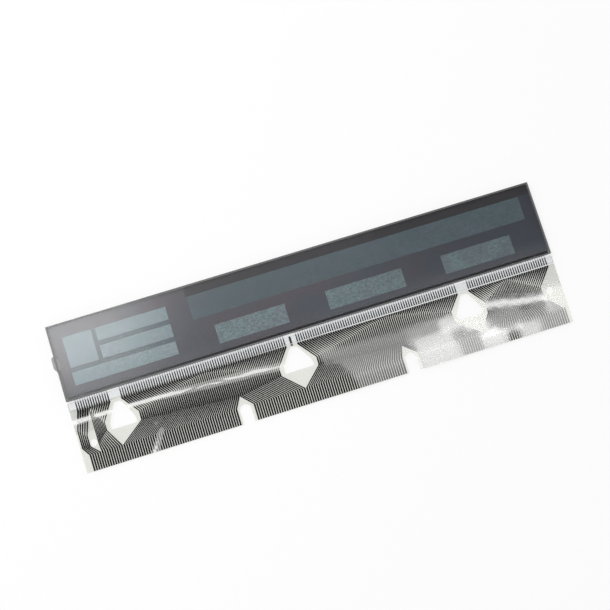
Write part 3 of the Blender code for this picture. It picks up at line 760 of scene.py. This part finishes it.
def hole_patch(centre, radius):
    """The rectangle left out round a hole, and the ring of quads that fills it up to the hole's edge."""
    reach = radius(DIRECTIONS)[:, None] * np.stack([np.cos(DIRECTIONS), np.sin(DIRECTIONS)], 1)
    box = cut_out(centre + reach.min(0) - HOLE_ROOM, centre + reach.max(0) + HOLE_ROOM)
    outer = border(box)
    outer = np.concatenate([outer, outer[:1]])
    turn = np.arctan2(outer[:, 1] - centre[1], outer[:, 0] - centre[0])
    inner = centre + radius(turn)[:, None] * np.stack([np.cos(turn), np.sin(turn)], 1)
    return box, ring(outer, inner)


def slot_patch(middle):
    """An open ring: straight down both sides of the slot, and by angle round its arch."""
    centre = np.array([middle, SLOT_ARCH])
    side = SLOT_HALF_WIDTH + HOLE_ROOM
    left, right, low, high = cut_out((middle - side, FILM_FOOT), (middle + side, SLOT_ARCH + side))
    loop = np.roll(border((left, right, low, high)), -(right - left), 0)
    outer = loop[:len(loop) - (right - left) + 1]
    turn = np.arctan2(outer[:, 1] - centre[1], outer[:, 0] - centre[0])
    arch = centre + SLOT_HALF_WIDTH * np.stack([np.cos(turn), np.sin(turn)], 1)
    straight = np.stack([middle + SLOT_HALF_WIDTH * np.sign(outer[:, 0] - middle), outer[:, 1]], 1)
    inner = np.where(outer[:, 1:] < SLOT_ARCH, straight, arch)
    return (left, right, low, high), ring(outer, inner)


patches = [hole_patch(*hole) for hole in holes] + [slot_patch(middle) for middle in SLOT_MIDDLES]
grid = np.stack(np.meshgrid(columns, lines), -1).reshape(-1, 2)
quads = grid_quads(len(lines), len(columns))
cell_x, cell_y = np.meshgrid(np.arange(len(columns) - 1), np.arange(len(lines) - 1))
kept = np.ones(cell_x.shape, bool)
for (left, right, low, high), _ in patches:
    kept &= ~((cell_x >= left) & (cell_x < right) & (cell_y >= low) & (cell_y < high))
points, faces = [grid], [quads[kept.reshape(-1)]]
for _, (ring_points, ring_quads) in patches:
    faces.append(ring_quads + sum(len(p) for p in points))
    points.append(ring_points)
points, faces = np.concatenate(points), np.concatenate(faces)

# %% Weld the patches, turn every quad upwards and drop unused points
SAME_PLACE = 0.001 * MM
rounded = np.round(points / SAME_PLACE)
_, first, number = np.unique(rounded, axis=0, return_index=True, return_inverse=True)
points, faces = points[first], number.reshape(-1)[faces]
diagonal = points[faces[:, 2]] - points[faces[:, 0]]
other = points[faces[:, 3]] - points[faces[:, 1]]
turned = diagonal[:, 0] * other[:, 1] - diagonal[:, 1] * other[:, 0]
faces = np.where((turned < 0)[:, None], faces[:, ::-1], faces)
used, number = np.unique(faces, return_inverse=True)
points, faces = points[used], number.reshape(faces.shape)
print("film sheet:", len(points), "points", len(faces), "quads", int((turned == 0).sum()), "empty")

# %% [markdown]
# The film is clear polyester, faintly yellow and glossy. Like the glass it gets a plain Alpha. Its
# gloss is a coat, a little uneven, because a thin sheet never mirrors as cleanly as glass.

# %% Film piece
FILM_ALPHA, CORNER_SHADE_ALPHA = 0.15, 0.27
CORNER_FROM, CORNER_TO = 87.8 * MM, 88.6 * MM
CORNER_FOOT, CORNER_TOP = -28 * MM, -26 * MM
WAVE_SIZE, WAVE_DEPTH = 4 * MM, 0.004 * MM


def film_material():
    """Faintly yellow and clear, with painted shade: greyer, less clear in both outer corners below the
    ledge.
    """
    material = new_material(
        "clear_polyester", (0.5, 0.52, 0.34), 0.08,
        Alpha=FILM_ALPHA, IOR=2.2, Coat_Weight=1.0, Coat_Roughness=0.08,
    )
    place = coordinates(material)
    # Painted shade: the outer corners are greyer and less clear, standing in for the shadow under the
    # film there.
    from_middle = times(material, place["X"], place["X"])
    corner = ramp(material, from_middle, CORNER_FROM ** 2, CORNER_TO ** 2)
    corner = times(material, corner, ramp(material, place["Y"], CORNER_FOOT, CORNER_TOP))
    cloud = ramp(material, noise(material, 11 * MM, 2.0), *FIRM)
    tone = blend(material, cloud, (0.50, 0.53, 0.30), (0.42, 0.45, 0.22))
    paint(material, "Base Color", blend(material, corner, tone, (0.42, 0.43, 0.34)))
    paint(material, "Alpha", ramp(material, corner, 0.0, 1.0, FILM_ALPHA, CORNER_SHADE_ALPHA))
    relief(material, noise(material, WAVE_SIZE, 1.0), WAVE_DEPTH)
    return material


film_points = np.column_stack([points, ribbon_height(points[:, 0], points[:, 1])])
film = make_piece("clear_ribbon_film", film_points, faces, film_material())
wall = film.modifiers.new("thickness", "SOLIDIFY")
wall.thickness = FILM_THICKNESS
wall.offset = -1.0
thick_film = film.evaluated_get(bpy.context.evaluated_depsgraph_get())
film_mesh = bpy.data.meshes.new_from_object(thick_film)
film.modifiers.clear()
film.data = film_mesh
film_mesh.set_sharp_from_angle(angle=SHARP_ANGLE)
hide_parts("ribbon_film")

# %% [markdown]
# The tracks are 188 printed bands of carbon ink. Each is straight on the ledge and just below it, fans
# in towards the waist between two windows, runs down it, fans out again, and ends straight on the
# lower contact stretch. So each path has seven knots, and all paths together are one array of 188 by
# 7. Between two knots the band is divided evenly, and a rectangle of ink is carried along it. The ink
# takes a different share of the pitch from knot to knot: least on the ledge, most at the two fans.

# %% Where the tracks run: each block's first and last track in mm, and its number of tracks
INKED_SHARE = 0.74
WAIST_SHARE = 0.69
DENSE_SHARE = 0.92
LEDGE_SHARES = (0.44, 0.6, 0.92)
SEAL_FOOT = LEDGE + 0.65 * MM
PITCH = 0.9225 * MM
UPPER_BLOCKS = ((-92.25, -80.29, 14), (-75.34, -12.0, 70), (-7.02, 55.90, 69), (60.94, 92.54, 35))
LEFT_TRACK_COUNT = 5
WAIST_BLOCKS = (
    (-94.35, -91.65, 5), (-88.14, -84.2, 9), (-70.63, -16.92, 70), (-1.80, 51.53, 69), (65.4, 87.3, 35),
)
LOWER_BLOCKS = ((-92.35, -36.35, 62), (-29.3, 28.43, 63), (35.55, 92.75, 63))
WAIST_DEPTH = 7.1 * MM
OUTER_WAIST_DEPTHS = (7.4 * MM, 10.1 * MM)
LEAVING_DEPTHS = {
    "x": (-95.3, -88.15, -84.25, -70.65, -33.0, -16.85, -1.85, 31.8, 51.55, 65.35, 87.3),
    "depth": (14.1, 14.1, 10.2, 10.2, 12.9, 10.2, 10.2, 12.9, 10.2, 10.2, 11.2),
}


def row_of(blocks):
    """X of every track from left to right, evenly divided in each block."""
    return np.concatenate([np.linspace(first, last, count) * MM for first, last, count in blocks])


upper, waist, lower = row_of(UPPER_BLOCKS), row_of(WAIST_BLOCKS), row_of(LOWER_BLOCKS)
block_numbers = range(len(WAIST_BLOCKS))
block = np.repeat(block_numbers, [count for _, _, count in WAIST_BLOCKS])
shift = np.abs(waist - upper)
furthest = np.array([shift[block == k].max() for k in block_numbers])[block]
arrival = FAN - (WAIST_DEPTH - (LEDGE - FAN)) * shift / furthest
arrival[:LEFT_TRACK_COUNT] = LEDGE - np.linspace(*OUTER_WAIST_DEPTHS, LEFT_TRACK_COUNT)
leaving = LEDGE - np.interp(waist / MM, LEAVING_DEPTHS["x"], LEAVING_DEPTHS["depth"]) * MM
pitches = [(last - first) / (count - 1) * MM for first, last, count in WAIST_BLOCKS]
waist_pitch = np.array(pitches)[block]
narrow, dense = (part * np.minimum(waist_pitch, PITCH) for part in (WAIST_SHARE, DENSE_SHARE))
wide = np.full(len(upper), INKED_SHARE * PITCH)
at_top, at_seal_foot, at_fan = (np.full(len(upper), part * PITCH) for part in LEDGE_SHARES)
ends = np.ones(len(upper))
knot_x = np.stack([upper, upper, upper, waist, waist, lower, lower], 1)
start, seal_foot, fan, contact, end = (
    ends * y for y in (TRACK_START, SEAL_FOOT, FAN, LOWER_CONTACT, TRACK_END)
)
knot_y = np.stack([start, seal_foot, fan, arrival, leaving, contact, end], 1)
knot_width = np.stack([at_top, at_seal_foot, at_fan, narrow, dense, wide, wide], 1)
print("tracks:", len(upper), len(waist), len(lower))

# %% Bands of ink along many paths at once
STEPS = (2, 2, 14, 8, 16, 10)


def between(knots, steps):
    """Each row of knots divided evenly into the given steps between one knot and the next."""
    k = np.repeat(np.arange(len(steps)), steps)
    share = np.concatenate([np.arange(n) / n for n in steps])
    inner = knots[:, k] + (knots[:, k + 1] - knots[:, k]) * share
    return np.concatenate([inner, knots[:, -1:]], 1)


def bands(xs, ys, widths, base, thickness):
    """Closed bands: a rectangle carried along each path, with both ends capped.

    The corners are path +- width / 2 across, at base(x, y) and that plus the thickness in height."""
    count, length = xs.shape
    side = np.array([-0.5, 0.5, 0.5, -0.5])
    lift = np.array([0.0, 0.0, 1.0, 1.0]) * thickness
    x = xs[..., None] + widths[..., None] * side
    y = np.broadcast_to(ys[..., None], x.shape)
    z = base(x, y) + lift
    number = np.arange(count * length * 4).reshape(count, length, 4)
    turned = np.roll(number, -1, 2)
    walls = np.stack([number[:, :-1], number[:, 1:], turned[:, 1:], turned[:, :-1]], -1).reshape(-1, 4)
    caps = np.concatenate([number[:, 0], number[:, -1, ::-1]])
    return np.stack([x, y, z], -1).reshape(-1, 3), np.concatenate([walls, caps])


# %% [markdown]
# Carbon ink is near black and slightly glossy under its clear lacquer, so it mirrors the lamp as the
# film does. Where the film slopes towards the lamp, the tracks turn grey and even white.

# %% Track pieces


def ink_material():
    """Near black and glossy, with the film's own slight waves."""
    material = new_material("carbon_ink", (0.008, 0.008, 0.008), 0.045, IOR=2.5)
    tone = blend(material, noise(material, 0.6 * MM), (0.003, 0.003, 0.003), (0.008, 0.008, 0.008))
    paint(material, "Base Color", tone)
    relief(material, noise(material, WAVE_SIZE, 1.0), WAVE_DEPTH)
    return material


ink = ink_material()


def on_film(x, y):
    """Height of the ink's underside."""
    return ribbon_height(x, y) + TRACK_GAP


paths = [between(knots, STEPS) for knots in (knot_x, knot_y, knot_width)]
track_points, track_quads = bands(*paths, on_film, TRACK_THICKNESS)
KEY_X, KEY_WIDTH = -9.53 * MM, 0.85 * MM
KEY_ROWS, MARK_ROWS = 6, 8
key_rows = np.linspace(TRACK_START, FAN, KEY_ROWS)[None]
key_points, key_quads = bands(
    np.full_like(key_rows, KEY_X), key_rows, np.full_like(key_rows, KEY_WIDTH), on_film, TRACK_THICKNESS
)
tracks = make_piece(
    "printed_tracks",
    np.concatenate([track_points, key_points]),
    np.concatenate([track_quads, key_quads + len(track_points)]),
    ink,
)
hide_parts("ribbon_tracks")

mark_rows = np.linspace(LOWER_CONTACT, TRACK_END, MARK_ROWS)[None]
mark_x = np.full_like(mark_rows, (mark_low.x + mark_high.x) / 2)
mark_points, mark_quads = bands(
    mark_x, mark_rows, np.full_like(mark_rows, mark_high.x - mark_low.x), on_film, TRACK_THICKNESS
)
mark = make_piece("printed_index_mark", mark_points, mark_quads, ink)
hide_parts("index_mark")

# %% [markdown]
# Three thin things finish the ledge. The heat-seal adhesive fills the space between the upper ends of
# the tracks and shows as a pale grey strip. Clear leads run from the cell to the contacts and are just
# visible as faint bars. And the ground lower edge of the glass is frosted, a white line across them;
# its white is partly its own frosting and partly a painted highlight, which grows towards the right.

# %% Ledge details
UNDER_GLASS = glass_low.z
STRIP_THICKNESS = 0.012 * MM
STRIP_SHORT = 0.3 * MM
SLAB_COLUMNS = 200
ADHESIVE_GAP = 0.001 * MM
LEAD_LENGTH, LEAD_SHARE, LEAD_ROWS = 0.9 * MM, 0.5, 3
LEAD_DROP, LEAD_THICKNESS = 0.004 * MM, 0.002 * MM


def level_at(height):
    """A base for bands() that has one height everywhere."""
    return lambda x, y: np.full_like(x, height)


def slab(name, xs, ys, low, high, material):
    """A thin closed slab: one wide band along the panel, made by bands() with x and y swapped."""
    run = np.linspace(*xs, SLAB_COLUMNS)[None]
    middle, depth = np.full_like(run, (ys[0] + ys[1]) / 2), np.full_like(run, ys[1] - ys[0])
    points, quads = bands(middle, run, depth, level_at(low), high - low)
    return make_piece(name, points[:, [1, 0, 2]], quads[:, ::-1], material)


adhesive = new_material("heat_seal_adhesive", (0.94, 0.96, 0.96), 0.4, Alpha=0.85)
clots = ramp(adhesive, noise(adhesive, 1.2 * MM, 2.0), *SOFT)
paint(adhesive, "Base Color", blend(adhesive, clots, (0.90, 0.93, 0.94), (0.96, 0.97, 0.97)))
adhesive_level = BONDED_LEVEL + ADHESIVE_GAP
strip = slab(
    "heat_seal_strip", (LEFT + STRIP_SHORT, RIGHT - STRIP_SHORT), (SEAL_FOOT, TRACK_START),
    adhesive_level, adhesive_level + STRIP_THICKNESS, adhesive,
)

lead_material = new_material("clear_leads", (0.42, 0.45, 0.52), 0.3, Alpha=0.35)
lead_tone = blend(lead_material, noise(lead_material, 0.8 * MM), (0.38, 0.4, 0.5), (0.5, 0.52, 0.58))
paint(lead_material, "Base Color", lead_tone)
lead_rows = np.linspace(TRACK_START + LEAD_LENGTH, TRACK_START, LEAD_ROWS)
lead_x, lead_y = np.meshgrid(upper, lead_rows, indexing="ij")
lead_width, lead_base = np.full_like(lead_x, LEAD_SHARE * PITCH), level_at(UNDER_GLASS - LEAD_DROP)
lead_points, lead_quads = bands(lead_x, lead_y, lead_width, lead_base, LEAD_THICKNESS)
leads = make_piece("contact_leads", lead_points, lead_quads, lead_material)

# %% Ground edge of the glass, with a painted highlight
GROUND_WIDTH, GROUND_DEPTH = 0.35 * MM, 0.25 * MM
HIGHLIGHT_FROM, HIGHLIGHT_TO, GROUND_HIGHLIGHT_ALPHA = -40 * MM, 30 * MM, 0.75


def frosted_highlight_material():
    """Frosted glass with a painted highlight: its Alpha grows along the edge towards the right."""
    material = new_material("ground_edge_and_highlight", (0.93, 0.95, 0.96), 0.5, Alpha=0.5)
    along = coordinates(material)["X"]
    # Painted highlight: the frosted edge grows whiter towards the right, where it catches the light.
    paint(material, "Alpha", ramp(material, along, HIGHLIGHT_FROM, HIGHLIGHT_TO, 0.0, GROUND_HIGHLIGHT_ALPHA))
    return material


edge = slab(
    "ground_glass_edge", (LEFT, RIGHT), (LEDGE, LEDGE + GROUND_WIDTH),
    glass_high.z - GROUND_DEPTH, glass_high.z, frosted_highlight_material(),
)

# %% Floor
FLOOR_SIZE = 3.0
FLOOR_GLOW = 0.74
FLOOR_DROP = 0.02 * MM


def floor_material():
    """White paper. What the lens sees of it is lifted to white by a little glow of its own."""
    material = new_material(
        "white_table", (0.25, 0.25, 0.25), 0.9,
        Specular_IOR_Level=0.2, Emission_Color=(1.0, 1.0, 1.0, 1.0),
    )
    glow = ramp(material, seen_by_lens(material), 0.0, 1.0, 0.0, FLOOR_GLOW)
    paint(material, "Emission Strength", glow)
    return material


half = FLOOR_SIZE / 2
corners = [(x * half, y * half, -FLOOR_DROP) for x, y in ((-1, -1), (1, -1), (1, 1), (-1, 1))]
floor_mesh = bpy.data.meshes.new("table")
floor_mesh.from_pydata(corners, [], [(0, 1, 2, 3)])
floor_mesh.materials.append(floor_material())
table = bpy.data.objects.new("table", floor_mesh)
bpy.context.scene.collection.objects.link(table)
